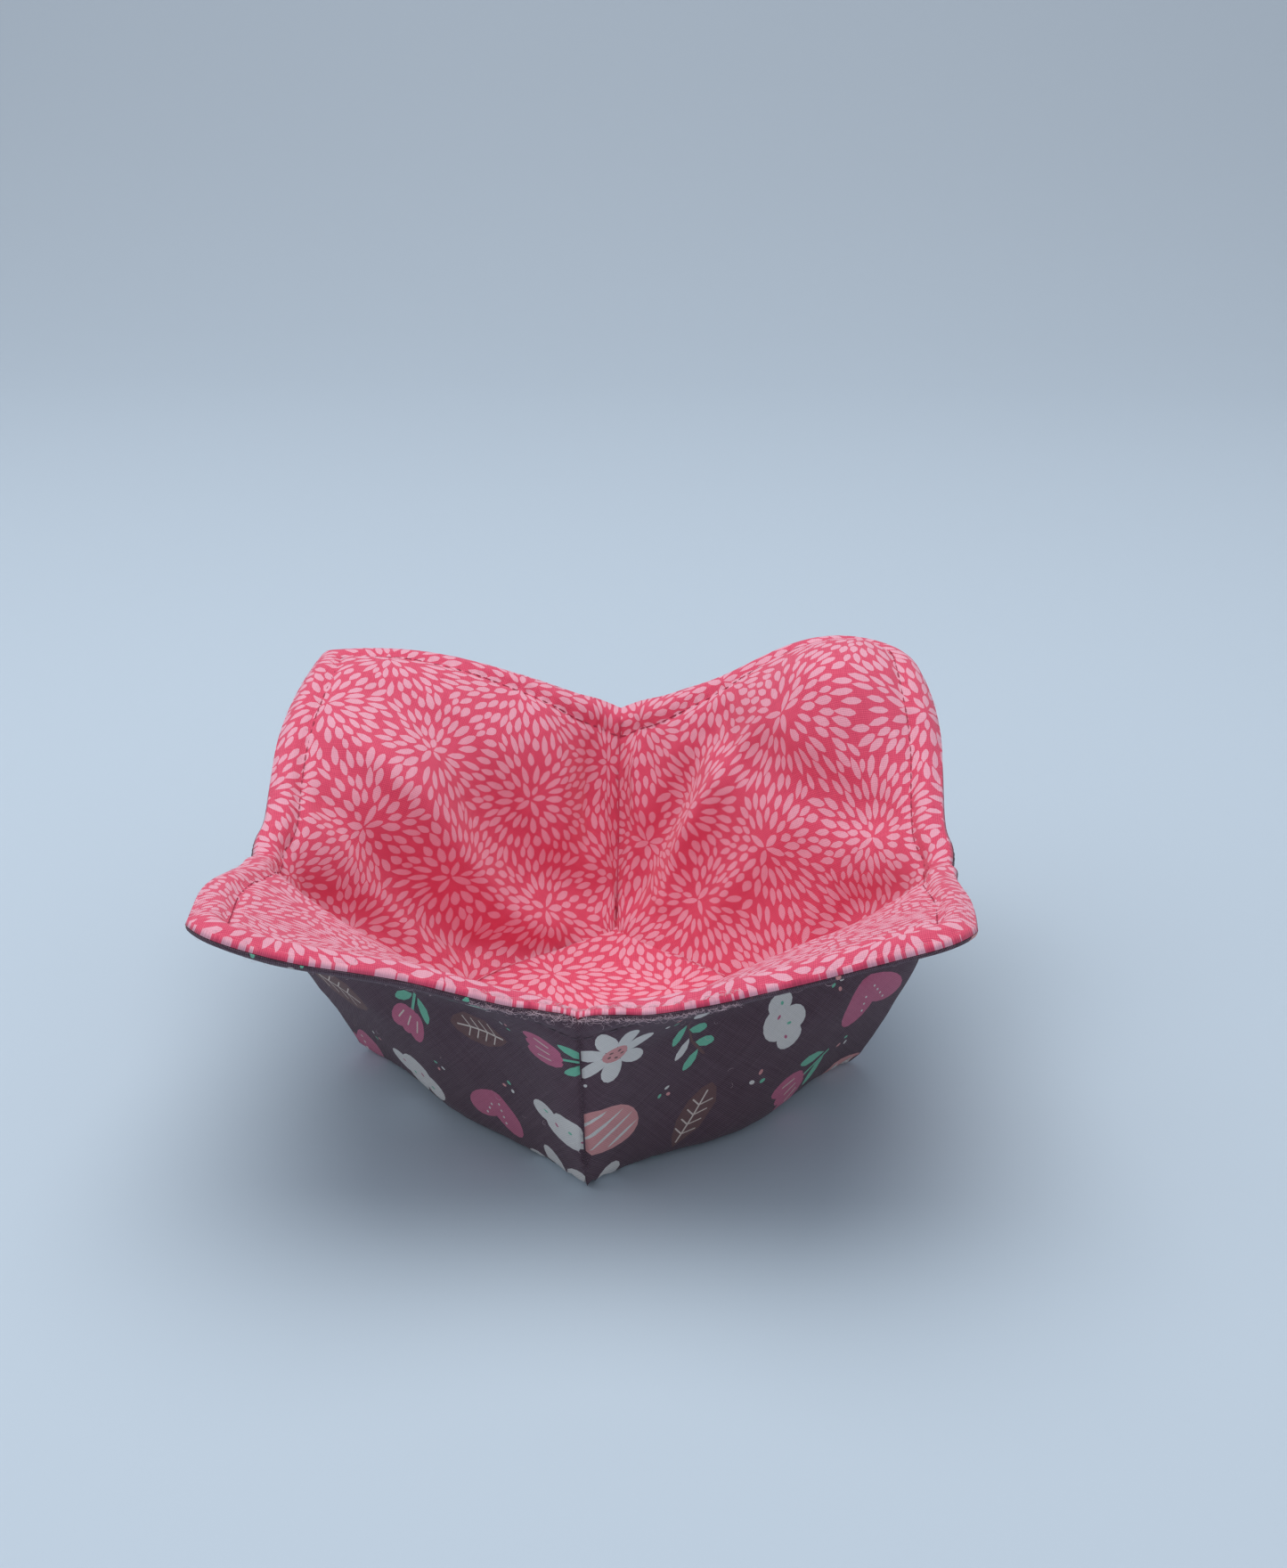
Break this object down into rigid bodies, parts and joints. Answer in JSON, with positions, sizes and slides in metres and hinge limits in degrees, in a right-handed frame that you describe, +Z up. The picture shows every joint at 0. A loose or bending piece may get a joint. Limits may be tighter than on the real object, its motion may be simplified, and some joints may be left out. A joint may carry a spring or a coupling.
{
  "type": "microwave bowl cozy",
  "caption": "Padded fabric holder for a hot bowl: a darted, square-cornered fabric bowl with flared corners and a topstitched rim.",
  "frame": {"origin": "centre of the flat base, on its underside, at the level of the table", "axes": "+Z up out of the bowl, -Y towards the front dart, +X to the right seen from the front"},
  "size_m": [0.1892, 0.1812, 0.0949],
  "materials": {
    "outer_cloth": "printed plain-weave cotton, matt",
    "outer_wadding": "needled cotton batting, matt",
    "lining_wadding": "needled cotton batting, matt",
    "lining_cloth": "printed plain-weave cotton, matt"
  },
  "bodies": {
    "root": {"outer_shell": "outer_cloth", "outer_batting": "outer_wadding", "lining_batting": "lining_wadding", "lining": "lining_cloth"}
  },
  "joints": []
}
